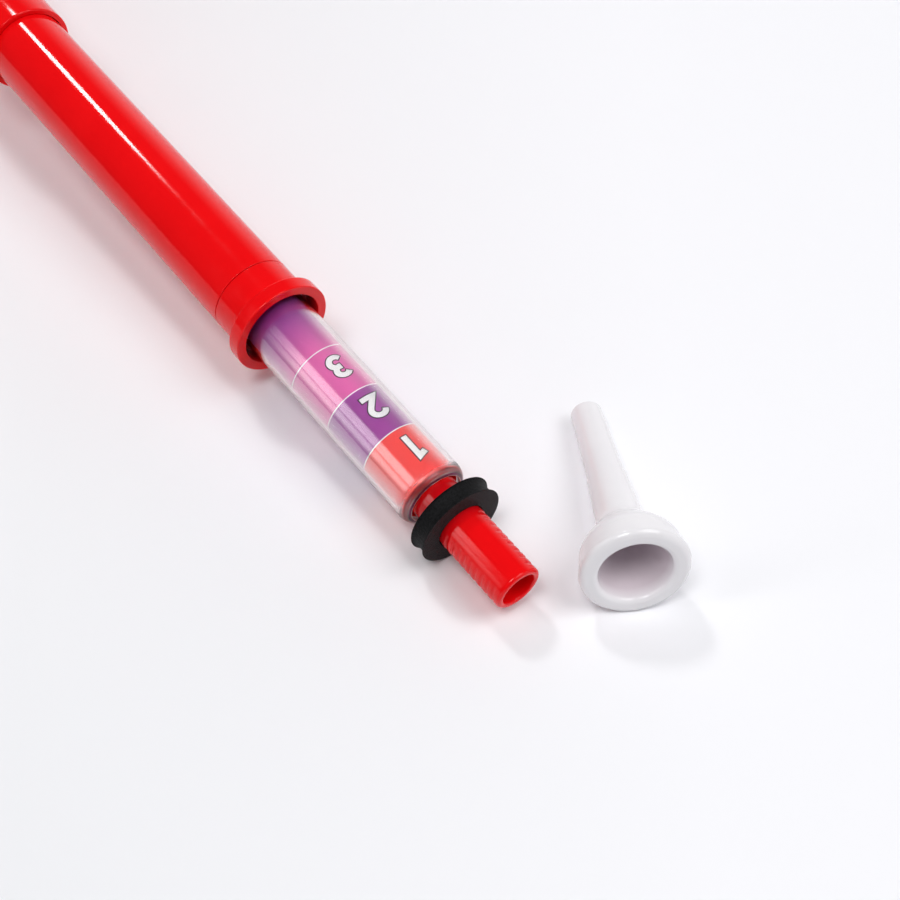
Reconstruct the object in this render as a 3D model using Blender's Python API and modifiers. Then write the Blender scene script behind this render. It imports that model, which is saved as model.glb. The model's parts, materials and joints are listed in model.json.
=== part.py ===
"""Plastic buzz horn: a red horn body, a clear numbered slide, a foam ring and a loose mouthpiece.

Metres, +Z up. The horn lies on the table along X, with its receiver towards +X.
Every piece of the horn is turned about one axis. Its stations are counted along that axis
from the front face of the slide collar, positive towards the receiver.
The mouthpiece lies beside it, and its stations are counted from the front of its rim.
"""
import math

import bmesh
import bpy
from mathutils import Vector

# Fits and small edges
GAP = 0.0003
RUNNING_GAP = 0.0001
JOINT_EDGE = 0.00015
SMALL_EDGE = 0.0004

# Fineness of the meshes
TURN_STEPS = 40
CURVE_STEPS = 6
MERGE_DISTANCE = 0.00001
WELD_DISTANCE = 0.000001

# Where the two loose parts lie on the table, so that the origin is at the middle of the whole
COLLAR_SPOT = (0.0872, -0.0130)
MOUTHPIECE_OFFSET = (0.1595, 0.0322)
MOUTHPIECE_HEADING = math.radians(-30.3)

# Outer tube and slide collar
TUBE_RADIUS = 0.0166
TUBE_BORE = 0.0146
TUBE_REAR = -0.2117
LAP_RADIUS = 0.0155
COLLAR_BACK = -0.0195
FLANGE_RADIUS = 0.01985
FLANGE_BACK = -0.0057
FLANGE_EDGE_ROUND = 0.0009
MOUTH_RADIUS = 0.0160
MOUTH_ROUND = 0.0013
MOUTH_DEPTH = 0.0065
MOUTH_TAPER = 0.0007
LIP_RADIUS = 0.0144
LIP_BACK = -0.0080
BUSH_BACK = -0.0139

# Bell
BELL_MOUTH_RADIUS = 0.0487
BELL_BEAD = 0.0019
BELL_OUTER_RADIUS = 0.0525
BELL_WALL = 0.0023
BELL_LENGTH = 0.1280
BELL_FLARE_POWER = 0.7
BELL_STATIONS = 11
BELL_STATION_POWER = 1.7
SOCKET_LENGTH = 0.0240
SOCKET_WALL = 0.0021
SOCKET_TAPER = 0.0060
SOCKET_EDGE = 0.0007

# Clear slide tube, number sleeve and air tube
SLIDE_RADIUS = 0.01356
SLIDE_BORE = 0.01205
SLIDE_FRONT = 0.0931
SLIDE_REAR = -0.0777
SHOULDER_ROUND = 0.0030
INNER_ROUND = 0.0008
SLIDE_LIP_RADIUS = 0.0104
SLIDE_LIP_THICKNESS = 0.0023
SLEEVE_WALL = 0.0005
SLEEVE_REAR = -0.0628
AIR_TUBE_RADIUS = 0.0080
AIR_BORE = 0.0060
AIR_TUBE_FRONT = 0.0797

# Piston and its two sealing rings, at the hidden end of the slide
PISTON_RADIUS = 0.0143
PISTON_LENGTH = 0.0140
PISTON_SPIGOT = 0.0135
SEAL_SECTION = 0.00095
SEAL_SIDES = 6
SEAL_GROOVE_WIDTH = 0.0026
SEAL_STATIONS = (0.0045, 0.0095)

# Mouthpiece receiver
RECEIVER_TIP = 0.1382
RECEIVER_RADIUS = 0.0091
NECK_RADIUS = 0.0090
NECK_END = 0.1070
RECEIVER_REAR = 0.0660
CENTRING_RADIUS = 0.0109
CENTRING_BACK = 0.0720
SOCKET_MOUTH = 0.00665
TIP_ROUND = 0.0012
TIP_INNER_ROUND = 0.0007
GRIP_GROOVES = 9
GRIP_PITCH = 0.0031
GRIP_FIRST = 0.1098
GRIP_GROOVE_WIDTH = 0.0015
GRIP_DEPTH = 0.0006
GRIP_HEIGHT = 0.0096
GRIP_TURN = math.radians(15)
CUTTER_RADIUS = 0.0130
CUTTER_SIDES = 48

# Foam ring
RING_BACK = 0.1003
RING_FRONT = 0.1069
RING_RADIUS = 0.0166
RING_HOLE = 0.0094
RING_LIP = 0.0006
RING_WAIST = 0.0007

# Mouthpiece
RIM_RADIUS = 0.0192
RIM_ROUND = 0.0026
RIM_INNER_ROUND = 0.0022
CUP_RADIUS = 0.0127
CUP_DEPTH = 0.0300
CUP_BOW = 0.85
THROAT_RADIUS = 0.0032
THROAT_LENGTH = 0.0080
CUP_SIDE = 0.0085
CUP_SIDE_RADIUS = 0.0178
SHANK_FRONT = 0.0260
SHANK_FRONT_RADIUS = 0.0083
SHANK_STEP = 0.0470
SHANK_STEP_RADIUS = 0.0071
SHANK_STEP_HEIGHT = 0.00035
MOUTHPIECE_LENGTH = 0.0835
SHANK_TIP_RADIUS = 0.0058
BACKBORE_RADIUS = 0.0047

# Colours, red, green and blue in linear light
RED = (0.80, 0.008, 0.010)
BLACK = (0.015, 0.016, 0.018)
CREAM = (0.82, 0.80, 0.80)
CLEAR = (0.95, 0.95, 0.96)
PINK = (0.72, 0.14, 0.38)
GREY = (0.25, 0.25, 0.26)

# Surface roughness, and how much of the clear plastic stays solid
RED_ROUGHNESS = 0.16
WHITE_ROUGHNESS = 0.22
CLEAR_ROUGHNESS = 0.05
CLEAR_ALPHA = 0.1
FILM_ROUGHNESS = 0.35
GREY_ROUGHNESS = 0.45
RUBBER_ROUGHNESS = 0.6
FOAM_ROUGHNESS = 0.9

# Collections
PARTS = "buzz_horn"
CUTTERS = "cutters"


def clear_scene():
    """Starts from an empty file with one collection for the horn and one for its cutters."""
    for item in list(bpy.data.objects):
        bpy.data.objects.remove(item, do_unlink=True)
    for name in (PARTS, CUTTERS):
        bpy.context.scene.collection.children.link(bpy.data.collections.new(name))


def plastic(name, colour, roughness, alpha=1.0):
    """One Principled material; clear plastic transmits light instead of being a solid colour."""
    material = bpy.data.materials.new(name)
    material.use_nodes = True
    shader = material.node_tree.nodes["Principled BSDF"]
    shader.inputs["Base Color"].default_value = (*colour, 1.0)
    shader.inputs["Roughness"].default_value = roughness
    shader.inputs["Metallic"].default_value = 0.0
    shader.inputs["Transmission Weight"].default_value = 1.0 - alpha
    return material


def empty(name, location, rotation=(0.0, 0.0, 0.0), parent=None):
    """An axis that pieces are parented to."""
    axis = bpy.data.objects.new(name, None)
    axis.location = location
    axis.rotation_euler = rotation
    axis.parent = parent
    bpy.data.collections[PARTS].objects.link(axis)
    return axis


def arc(centre, radius, start, end, count):
    """Points on a round edge, from one angle in degrees to another, both ends included."""
    points = []
    for step in range(count):
        angle = math.radians(start + (end - start) * step / (count - 1))
        points.append((centre[0] + radius * math.cos(angle), centre[1] + radius * math.sin(angle)))
    return points


def turned(name, profile, axis, material):
    """A closed profile of (radius, station) points, down the outside and up the bore, turned about Z."""
    mesh = bpy.data.meshes.new(name)
    count = len(profile)
    edges = [(index, (index + 1) % count) for index in range(count)]
    mesh.from_pydata([(radius, 0.0, station) for radius, station in profile], edges, [])
    mesh.materials.append(material)
    piece = bpy.data.objects.new(name, mesh)
    piece.parent = axis
    bpy.data.collections[PARTS].objects.link(piece)
    screw = piece.modifiers.new("turn", "SCREW")
    screw.axis = "Z"
    screw.angle = math.tau
    screw.steps = TURN_STEPS
    screw.render_steps = TURN_STEPS
    screw.use_merge_vertices = True
    screw.merge_threshold = MERGE_DISTANCE
    screw.use_smooth_shade = True
    return piece


def bell_wall(distance):
    """Bore radius of the bell at a distance in front of its mouth, and how fast it opens."""
    ratio = BELL_MOUTH_RADIUS / TUBE_BORE
    reach = BELL_LENGTH / (ratio ** (1 / BELL_FLARE_POWER) - 1)
    radius = BELL_MOUTH_RADIUS * (1 + distance / reach) ** -BELL_FLARE_POWER
    slope = BELL_FLARE_POWER * radius / (reach + distance)
    return radius, slope


def make_bell(axis, material):
    """Flared bell with a rolled rim, and a socket in which the outer tube is glued."""
    seat = TUBE_REAR - GAP
    rim = seat - BELL_LENGTH
    bead_radius = BELL_OUTER_RADIUS - BELL_BEAD
    bore = []
    flare = []
    for step in range(BELL_STATIONS):
        distance = BELL_LENGTH * (1 - step / (BELL_STATIONS - 1)) ** BELL_STATION_POWER
        radius, slope = bell_wall(distance)
        lean = math.atan(slope)
        bore.append((radius, rim + distance))
        outer = (radius + BELL_WALL * math.cos(lean), rim + distance + BELL_WALL * math.sin(lean))
        if outer[1] < seat - SOCKET_TAPER and outer[0] < bead_radius - BELL_BEAD:
            flare.append(outer)
    bead = arc((bead_radius, rim + BELL_BEAD), BELL_BEAD, 60, -90, CURVE_STEPS)
    socket_bore = TUBE_RADIUS + GAP
    socket_radius = socket_bore + SOCKET_WALL
    socket = [
        (socket_radius - SOCKET_EDGE, seat + SOCKET_LENGTH),
        (socket_radius, seat + SOCKET_LENGTH - SOCKET_EDGE),
        (socket_radius, seat),
    ]
    inside = bore[:0:-1]
    seat_edge = [(TUBE_BORE, seat), (socket_bore, seat), (socket_bore, seat + SOCKET_LENGTH)]
    return turned("bell", socket + flare + bead + inside + seat_edge, axis, material)


def make_outer_tube(axis, material):
    """Straight tube that the slide runs in, turned down at the front where the collar laps over it."""
    lap_front = BUSH_BACK - GAP
    shoulder = COLLAR_BACK - GAP
    profile = [
        (LAP_RADIUS, lap_front),
        (LAP_RADIUS, shoulder),
        (TUBE_RADIUS - JOINT_EDGE, shoulder),
        (TUBE_RADIUS, shoulder - JOINT_EDGE),
        (TUBE_RADIUS, TUBE_REAR),
        (TUBE_BORE, TUBE_REAR),
        (TUBE_BORE, lap_front),
    ]
    return turned("outer_tube", profile, axis, material)


def make_collar(axis, material):
    """Flanged collar flush with the tube, with a wide mouth and a lip that holds the guide bush."""
    seat = LAP_RADIUS + GAP
    front_edge = arc((FLANGE_RADIUS - FLANGE_EDGE_ROUND, -FLANGE_EDGE_ROUND), FLANGE_EDGE_ROUND, 90, 0, 4)
    mouth_edge = arc((MOUTH_RADIUS + MOUTH_ROUND, -MOUTH_ROUND), MOUTH_ROUND, 180, 90, 3)
    profile = front_edge + [
        (FLANGE_RADIUS, FLANGE_BACK + SMALL_EDGE),
        (FLANGE_RADIUS - SMALL_EDGE, FLANGE_BACK),
        (TUBE_RADIUS + SMALL_EDGE, FLANGE_BACK),
        (TUBE_RADIUS, FLANGE_BACK - SMALL_EDGE),
        (TUBE_RADIUS, COLLAR_BACK + JOINT_EDGE),
        (TUBE_RADIUS - JOINT_EDGE, COLLAR_BACK),
        (seat, COLLAR_BACK),
        (seat, LIP_BACK),
        (LIP_RADIUS, LIP_BACK),
        (LIP_RADIUS, -MOUTH_DEPTH),
        (MOUTH_RADIUS - MOUTH_TAPER, -MOUTH_DEPTH),
    ] + mouth_edge
    return turned("slide_collar", profile, axis, material)


def make_bush(axis, material):
    """Low-friction ring in the collar that the clear slide tube runs in."""
    bore = SLIDE_RADIUS + GAP
    front = LIP_BACK - GAP
    profile = [
        (LAP_RADIUS, front),
        (LAP_RADIUS, BUSH_BACK),
        (bore + SMALL_EDGE, BUSH_BACK),
        (bore, BUSH_BACK + SMALL_EDGE),
        (bore, front - SMALL_EDGE),
        (bore + SMALL_EDGE, front),
    ]
    return turned("guide_bush", profile, axis, material)


def make_slide_tube(axis, material):
    """Clear tube with a rounded shoulder and an inward lip at its front end."""
    lip_back = SLIDE_FRONT - SLIDE_LIP_THICKNESS
    corner = (SLIDE_RADIUS - SHOULDER_ROUND, SLIDE_FRONT - SHOULDER_ROUND)
    shoulder = arc(corner, SHOULDER_ROUND, 90, 0, CURVE_STEPS)
    inner = arc((SLIDE_BORE - INNER_ROUND, lip_back - INNER_ROUND), INNER_ROUND, 0, 90, 3)
    profile = shoulder + [(SLIDE_RADIUS, SLIDE_REAR), (SLIDE_BORE, SLIDE_REAR)] + inner
    profile += [(SLIDE_LIP_RADIUS, lip_back), (SLIDE_LIP_RADIUS, SLIDE_FRONT - GAP)]
    return turned("slide_tube", profile, axis, material)


def make_number_sleeve(axis, material):
    """Printed film, rolled up inside the clear tube, which carries the coloured bands and numbers."""
    outer = SLIDE_BORE - GAP
    inner = outer - SLEEVE_WALL
    front = SLIDE_FRONT - SLIDE_LIP_THICKNESS - GAP
    profile = [(outer, front), (outer, SLEEVE_REAR), (inner, SLEEVE_REAR), (inner, front)]
    return turned("number_sleeve", profile, axis, material)


def make_air_tube(axis, material):
    """Inner tube that carries the breath from the receiver to the open end of the piston."""
    rear = SLIDE_REAR - GAP - PISTON_LENGTH
    profile = [
        (AIR_TUBE_RADIUS, AIR_TUBE_FRONT),
        (AIR_TUBE_RADIUS, rear),
        (AIR_BORE, rear),
        (AIR_BORE, AIR_TUBE_FRONT),
    ]
    return turned("air_tube", profile, axis, material)


def make_piston(axis, material):
    """Guide at the hidden end of the slide: a spigot in the clear tube, a head with two ring grooves."""
    front = SLIDE_REAR - GAP
    rear = front - PISTON_LENGTH
    spigot = SLIDE_BORE - GAP
    bore = AIR_TUBE_RADIUS + GAP
    groove_floor = TUBE_BORE - RUNNING_GAP - 2 * SEAL_SECTION - GAP
    head = [(PISTON_RADIUS, front)]
    for station in SEAL_STATIONS:
        middle = front - station
        top = middle + SEAL_GROOVE_WIDTH / 2
        bottom = middle - SEAL_GROOVE_WIDTH / 2
        head += [(PISTON_RADIUS, top), (groove_floor, top), (groove_floor, bottom), (PISTON_RADIUS, bottom)]
    profile = [(spigot, front + PISTON_SPIGOT), (spigot, front)] + head + [
        (PISTON_RADIUS, rear),
        (bore, rear),
        (bore, front + PISTON_SPIGOT),
    ]
    return turned("slide_piston", profile, axis, material)


def make_seals(axis, material):
    """The two rubber rings that seal the piston in the outer tube."""
    centre_radius = TUBE_BORE - RUNNING_GAP - SEAL_SECTION
    for name, station in zip(("front_seal_ring", "rear_seal_ring"), SEAL_STATIONS):
        middle = SLIDE_REAR - GAP - station
        loop = arc((centre_radius, middle), SEAL_SECTION, 120, 120 - 360, SEAL_SIDES + 1)
        turned(name, loop[:-1], axis, material)


def grip_cutter(axis):
    """Slabs with an oval hole, one for each groove: they bite the flanks and miss the top and bottom."""
    outline = bpy.data.curves.new("grip_outline", "CURVE")
    outline.dimensions = "2D"
    outline.fill_mode = "BOTH"
    outline.extrude = GRIP_GROOVE_WIDTH / 2
    for wide, high in ((CUTTER_RADIUS, CUTTER_RADIUS), (RECEIVER_RADIUS - GRIP_DEPTH, GRIP_HEIGHT)):
        spline = outline.splines.new("POLY")
        spline.points.add(CUTTER_SIDES - 1)
        spline.use_cyclic_u = True
        for index, point in enumerate(spline.points):
            angle = math.tau * (index + 0.5) / CUTTER_SIDES
            point.co = (high * math.cos(angle), wide * math.sin(angle), 0.0, 1.0)
    shape = bpy.data.objects.new("grip_outline", outline)
    bpy.data.collections[CUTTERS].objects.link(shape)
    bpy.context.view_layer.update()
    shown = shape.evaluated_get(bpy.context.evaluated_depsgraph_get())
    solid = bpy.data.meshes.new_from_object(shown)
    bpy.data.objects.remove(shape, do_unlink=True)
    weld = bmesh.new()
    weld.from_mesh(solid)
    bmesh.ops.remove_doubles(weld, verts=weld.verts, dist=WELD_DISTANCE)
    weld.to_mesh(solid)
    weld.free()
    cutter = bpy.data.objects.new("grip_cutter", solid)
    cutter.parent = axis
    cutter.location = (0.0, 0.0, GRIP_FIRST)
    cutter.rotation_euler = (0.0, 0.0, GRIP_TURN)
    cutter.hide_render = True
    cutter.display_type = "WIRE"
    bpy.data.collections[CUTTERS].objects.link(cutter)
    row = cutter.modifiers.new("row", "ARRAY")
    row.count = GRIP_GROOVES
    row.use_relative_offset = False
    row.use_constant_offset = True
    row.constant_offset_displace = (0.0, 0.0, GRIP_PITCH)
    return cutter


def make_receiver(axis, material):
    """Neck and grip that take the mouthpiece, with a round tip and finger grooves on both flanks."""
    tip = arc((RECEIVER_RADIUS - TIP_ROUND, RECEIVER_TIP - TIP_ROUND), TIP_ROUND, 90, 0, 5)
    mouth_centre = (SOCKET_MOUTH + TIP_INNER_ROUND, RECEIVER_TIP - TIP_INNER_ROUND)
    mouth = arc(mouth_centre, TIP_INNER_ROUND, 180, 90, 3)
    tube_socket = AIR_TUBE_RADIUS + GAP
    tube_stop = AIR_TUBE_FRONT + GAP
    profile = tip + [
        (NECK_RADIUS, NECK_END),
        (NECK_RADIUS, CENTRING_BACK),
        (CENTRING_RADIUS, CENTRING_BACK),
        (CENTRING_RADIUS, RECEIVER_REAR),
        (tube_socket, RECEIVER_REAR),
        (tube_socket, tube_stop),
        (AIR_BORE, tube_stop),
        (AIR_BORE, NECK_END),
    ] + mouth
    receiver = turned("mouthpiece_receiver", profile, axis, material)
    cut = receiver.modifiers.new("grip grooves", "BOOLEAN")
    cut.operation = "DIFFERENCE"
    cut.object = grip_cutter(axis)
    return receiver


def make_foam_ring(axis, material):
    """Die-cut foam washer that cushions the collar; its edge is drawn in between two lips."""
    middle = (RING_FRONT + RING_BACK) / 2
    half = (RING_FRONT - RING_BACK) / 2 - RING_LIP
    edge = [(RING_RADIUS - RING_LIP, RING_FRONT), (RING_RADIUS, RING_FRONT - RING_LIP)]
    for step in range(1, CURVE_STEPS):
        angle = math.pi * step / CURVE_STEPS
        edge.append((RING_RADIUS - RING_WAIST * math.sin(angle), middle + half * math.cos(angle)))
    edge += [(RING_RADIUS, RING_BACK + RING_LIP), (RING_RADIUS - RING_LIP, RING_BACK)]
    return turned("foam_ring", edge + [(RING_HOLE, RING_BACK), (RING_HOLE, RING_FRONT)], axis, material)


def make_mouthpiece(axis, material):
    """Cup mouthpiece: round rim, funnel cup, throat, and a tapered shank with a step half way."""
    crown = arc((RIM_RADIUS - RIM_ROUND, -RIM_ROUND), RIM_ROUND, 90, 0, 5)
    shoulder = []
    for step in range(1, CURVE_STEPS):
        share = step / CURVE_STEPS
        ease = (1 + math.cos(math.pi * share)) / 2
        radius = SHANK_FRONT_RADIUS + (CUP_SIDE_RADIUS - SHANK_FRONT_RADIUS) * ease
        shoulder.append((radius, -CUP_SIDE - (SHANK_FRONT - CUP_SIDE) * share))
    shank = [
        (SHANK_FRONT_RADIUS, -SHANK_FRONT),
        (SHANK_STEP_RADIUS, -SHANK_STEP),
        (SHANK_STEP_RADIUS - SHANK_STEP_HEIGHT, -SHANK_STEP - SMALL_EDGE),
        (SHANK_TIP_RADIUS, -MOUTHPIECE_LENGTH + SMALL_EDGE),
        (SHANK_TIP_RADIUS - SMALL_EDGE, -MOUTHPIECE_LENGTH),
    ]
    throat_end = CUP_DEPTH + THROAT_LENGTH
    bore = [
        (BACKBORE_RADIUS, -MOUTHPIECE_LENGTH),
        (THROAT_RADIUS, -throat_end),
        (THROAT_RADIUS, -CUP_DEPTH),
    ]
    cup = []
    for step in range(1, CURVE_STEPS):
        share = step / CURVE_STEPS
        depth = CUP_DEPTH - (CUP_DEPTH - RIM_INNER_ROUND) * share
        radius = THROAT_RADIUS + (CUP_RADIUS - THROAT_RADIUS) * share ** CUP_BOW
        cup.append((radius, -depth))
    bite = arc((CUP_RADIUS + RIM_INNER_ROUND, -RIM_INNER_ROUND), RIM_INNER_ROUND, 180, 90, 4)
    profile = crown + [(CUP_SIDE_RADIUS, -CUP_SIDE)] + shoulder + shank + bore + cup + bite
    return turned("mouthpiece", profile, axis, material)


def horn_tilt():
    """The horn rests on the bell's bead and the foam ring's front lip, so its axis dips to the front."""
    bead_station = TUBE_REAR - GAP - BELL_LENGTH + BELL_BEAD
    lip_station = RING_FRONT - RING_LIP
    tilt = math.atan2(BELL_OUTER_RADIUS - RING_RADIUS, lip_station - bead_station)
    height = lip_station * math.sin(tilt) + RING_RADIUS * math.cos(tilt)
    return tilt, height


def mouthpiece_pose():
    """The mouthpiece rests on its rim and on the end of its shank."""
    span = MOUTHPIECE_LENGTH - SMALL_EDGE - RIM_ROUND
    lean = math.atan2(RIM_RADIUS - SHANK_TIP_RADIUS, span)
    height = RIM_RADIUS * math.cos(lean) + RIM_ROUND * math.sin(lean)
    level = Vector((math.cos(MOUTHPIECE_HEADING), math.sin(MOUTHPIECE_HEADING), 0.0))
    forward = level * math.cos(lean) + Vector((0.0, 0.0, math.sin(lean)))
    return forward, height


def main():
    clear_scene()
    red = plastic("red gloss plastic", RED, RED_ROUGHNESS)
    white = plastic("white gloss plastic", CREAM, WHITE_ROUGHNESS)
    clear = plastic("clear plastic", CLEAR, CLEAR_ROUGHNESS, CLEAR_ALPHA)
    print_film = plastic("printed film", PINK, FILM_ROUGHNESS)
    grey = plastic("grey acetal", GREY, GREY_ROUGHNESS)
    rubber = plastic("black rubber", BLACK, RUBBER_ROUGHNESS)
    foam = plastic("black foam", BLACK, FOAM_ROUGHNESS)

    tilt, height = horn_tilt()
    horn = empty("horn_axis", (*COLLAR_SPOT, height), (0.0, math.pi / 2 + tilt, 0.0))
    make_bell(horn, red)
    make_outer_tube(horn, red)
    make_collar(horn, red)
    make_bush(horn, grey)

    piston = empty("piston_axis", (0.0, 0.0, 0.0), parent=horn)
    make_piston(piston, grey)
    make_seals(piston, rubber)

    slide = empty("slide_axis", (0.0, 0.0, 0.0), parent=horn)
    make_slide_tube(slide, clear)
    make_number_sleeve(slide, print_film)
    make_air_tube(slide, red)
    make_receiver(slide, red)

    ring = empty("foam_ring_axis", (0.0, 0.0, 0.0), parent=horn)
    make_foam_ring(ring, foam)

    forward, rim_height = mouthpiece_pose()
    spot = (COLLAR_SPOT[0] + MOUTHPIECE_OFFSET[0], COLLAR_SPOT[1] + MOUTHPIECE_OFFSET[1], rim_height)
    mouthpiece = empty("mouthpiece_axis", spot, forward.to_track_quat("Z", "Y").to_euler())
    make_mouthpiece(mouthpiece, white)


main()
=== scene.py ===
"""Looks for the plastic buzz horn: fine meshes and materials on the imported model, in a studio.

Metres, +Z up. Everything on the horn is turned about the slide's own axis, read from the frame.
Stations are counted along that axis from the front face of the collar, positive towards the receiver.
The mouthpiece's stations are counted back from the front of its rim.
"""

import json
import math

import bmesh
import bpy
from mathutils import Matrix, Vector, noise


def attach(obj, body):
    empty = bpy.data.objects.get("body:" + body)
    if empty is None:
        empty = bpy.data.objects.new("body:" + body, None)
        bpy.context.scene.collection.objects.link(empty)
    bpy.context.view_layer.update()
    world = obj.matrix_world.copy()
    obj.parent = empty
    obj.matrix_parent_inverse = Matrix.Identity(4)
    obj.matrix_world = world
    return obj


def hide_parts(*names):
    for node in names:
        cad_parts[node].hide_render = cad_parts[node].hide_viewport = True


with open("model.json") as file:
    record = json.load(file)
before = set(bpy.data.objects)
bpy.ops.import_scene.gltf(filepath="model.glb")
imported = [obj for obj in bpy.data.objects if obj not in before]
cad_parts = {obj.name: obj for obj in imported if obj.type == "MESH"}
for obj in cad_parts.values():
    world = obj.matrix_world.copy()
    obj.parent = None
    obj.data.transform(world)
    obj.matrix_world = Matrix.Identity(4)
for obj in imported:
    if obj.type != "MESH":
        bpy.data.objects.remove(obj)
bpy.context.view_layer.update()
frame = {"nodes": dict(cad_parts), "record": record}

MM = 0.001
TURN_STEPS = 160
FILLET_STEPS = 6
SHARP_ANGLE = math.radians(40)

# Camera, as worked out from the photograph: angles in degrees, lens and sensor in millimetres
CAMERA_SPOT = Vector((0.43736, -0.21234, 0.44580))
CAMERA_YAW = 141.438
CAMERA_PITCH = -50.972
CAMERA_ROLL = 0.502
CAMERA_LENS = 62.34
CAMERA_SENSOR = 36.0
CAMERA_CLIP = (0.01, 100.0)

# Lamps round the middle of the slide: azimuth, elevation, strength and spread, angles in degrees
AIM = Vector((0.135, -0.013, 0.020))
SUNS = (
    ("front", 38, 58.5, 1.30, 39),
    ("back", 171, 50, 0.57, 8),
    ("overhead", 285, 68, 1.20, 23),
)
SUN_DISTANCE = 2.0

# Split panel at the camera's left, in degrees: where each half begins, is full, starts to fade and ends,
# by its lean back along the horn and by its roll out to the side, and then its glow; the glow falls off
# from the first lean to the last
PANEL_FALL = (1.3, 0.95)
PANELS = (
    ((21.2, 22.4, 31.0, 33.3), (31.0, 38.0, 58.5, 62.0), 3.6),
    ((20.0, 21.7, 31.0, 33.3), (61.5, 65.0, 76.0, 90.0), 2.6),
)

# Far wall, as parts of a unit direction: the heights where it pales and where it ends in the dark room,
# and where it starts and is full towards +Y
WALL_HEIGHTS = (0.16, 0.58)
WALL_SIDES = (-0.2, 0.4)

# Floor: half its width, and the span of its painted light towards the picture's right from the origin
FLOOR_HALF = 20.0
FLOOR_PAINTED_LIGHT_SPAN = (-0.04, 0.19)

# Outer tube and collar
TUBE_RADIUS = 16.6 * MM
TUBE_BORE = 14.6 * MM
TUBE_REAR = -211.7 * MM
LAP_RADIUS = 15.5 * MM
LAP_GAP = 0.3 * MM
BUSH_BACK = -13.9 * MM
COLLAR_BACK = -19.5 * MM
JOINT_EDGE = 0.22 * MM
FLANGE_RADIUS = 19.85 * MM
FLANGE_BACK = -5.7 * MM
FLANGE_EDGE = 0.5 * MM
FLANGE_BACK_EDGE = 0.45 * MM
COLLAR_FILLET = 0.5 * MM
MOUTH_RADIUS = 16.0 * MM
MOUTH_FLOOR_RADIUS = 15.3 * MM
MOUTH_DEPTH = 6.5 * MM
MOUTH_EDGE = 0.5 * MM
# Painted shade in the collar's mouth: the radii over which it fades out, and its stations
MOUTH_SHADE_RADII = (15.9 * MM, 16.1 * MM)
MOUTH_SHADE_STATIONS = (-12.0 * MM, -10.0 * MM, -4.5 * MM, -0.8 * MM)
LIP_RADIUS = 13.95 * MM
LIP_BACK = -8.0 * MM

# Bell
BELL_LENGTH = 128.0 * MM
BELL_MOUTH_RADIUS = 48.7 * MM
BELL_OUTER_RADIUS = 52.5 * MM
BELL_BEAD = 1.9 * MM
BEAD_START_DEGREES = 60
BEAD_STEPS = 16
BELL_WALL = 2.3 * MM
BELL_FLARE_POWER = 0.7
BELL_STATIONS = 48
BELL_STATION_POWER = 1.7
SOCKET_LENGTH = 24.0 * MM
SOCKET_WALL = 2.1 * MM
SOCKET_TAPER = 6.0 * MM
SOCKET_EDGE = 0.7 * MM

# Clear slide tube
SLIDE_RADIUS = 13.56 * MM
SLIDE_BORE = 12.05 * MM
SLIDE_FRONT = 93.1 * MM
SLIDE_REAR = -77.7 * MM
SHOULDER_LENGTH = 4.4 * MM
SHOULDER_WIDTH = 2.8 * MM
SHOULDER_STEPS = 13
INNER_ROUND = 1.0 * MM
SLIDE_FILLET_STEPS = 10
SLIDE_LIP_RADIUS = 10.4 * MM
SLIDE_LIP_THICKNESS = 2.3 * MM
SLIDE_LIP_EDGE = 0.35 * MM
SLIDE_REAR_EDGE = 0.3 * MM

# Tints and painted light and shade in the clear tube: by how far aslant it is seen, station and radius
FACING_BLEND = 0.5
SHEEN_SLANTS = (0.14, 0.64, 0.66, 0.82)
SHEEN_MOST = 0.31
VEIL_SLANTS = (0.16, 0.30, 0.45, 0.75)
VEIL_MOST = 0.07
EDGE_SLANTS = (0.40, 0.66)
SHEEN_REAR = (-3.0 * MM, 20.0 * MM)
SHEEN_FRONT = (86.0 * MM, 91.0 * MM)
# Painted shade in the lip by radius, and the stations where the front end's painting begins
LIP_SHADE_RADII = (10.75 * MM, 10.90 * MM, 11.7 * MM, 12.3 * MM)
LIP_PAINT_STATIONS = (90.8 * MM, 91.8 * MM)
# Painted refraction of the coral film on the shoulder, by radius
SHOULDER_REFRACTION_RADII = (11.7 * MM, 12.3 * MM, 13.0 * MM, 13.5 * MM)
LIP_HAZE_STATIONS = (87.5 * MM, 90.5 * MM)
LIP_HAZE = 0.28
# Painted highlight on the lip's inner edge: a milky line by radius and station, and how clear it stays
LIP_HIGHLIGHT_RADII = (10.70 * MM, 10.85 * MM)
LIP_HIGHLIGHT_STATIONS = (92.55 * MM, 92.75 * MM)
LIP_HIGHLIGHT_CLEAR = 0.35

# Printed film: the stations of its lines, and of the tones beyond the last line; the step in colour at a
# line is a share of the film's length
FILM_RADIUS = 11.98 * MM
FILM_WALL = 0.5 * MM
FILM_FRONT = 90.5 * MM
FILM_REAR = -62.8 * MM
LINE_STATIONS = (68.5 * MM, 46.9 * MM, 24.8 * MM)
LINE_WIDTH = 0.46 * MM
LINE_STEP = 0.0005
# The violet print darkens towards the collar, below MAUVE_STATION, by a painted shadow of the collar
MAUVE_STATION = 8.0 * MM
SHADED_VIOLET_STATION = 4.0 * MM
COLLAR_SHADOW_STATION = 0.5 * MM
BLUE_STATION = -25.0 * MM
INK_LIFT = 0.004 * MM
INK_THICKNESS = 0.018 * MM

# Numbers on the film, drawn in millimetres: each one's name, the station of its middle, and its turn
# round the film in degrees
DIGIT_SIZE = 1.09
DIGIT_STROKE = 2.1
DIGIT_BORDER = 0.42
DIGIT_SLICE = 0.5
DIGIT_REACH = 6.0
DIGIT_MIDDLE = 5.45
MITRE_LIMIT = 0.3
DIGITS = (
    ("1", 77.8 * MM, -6.9),
    ("2", 56.1 * MM, -4.6),
    ("3", 34.5 * MM, -4.6),
)

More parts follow.
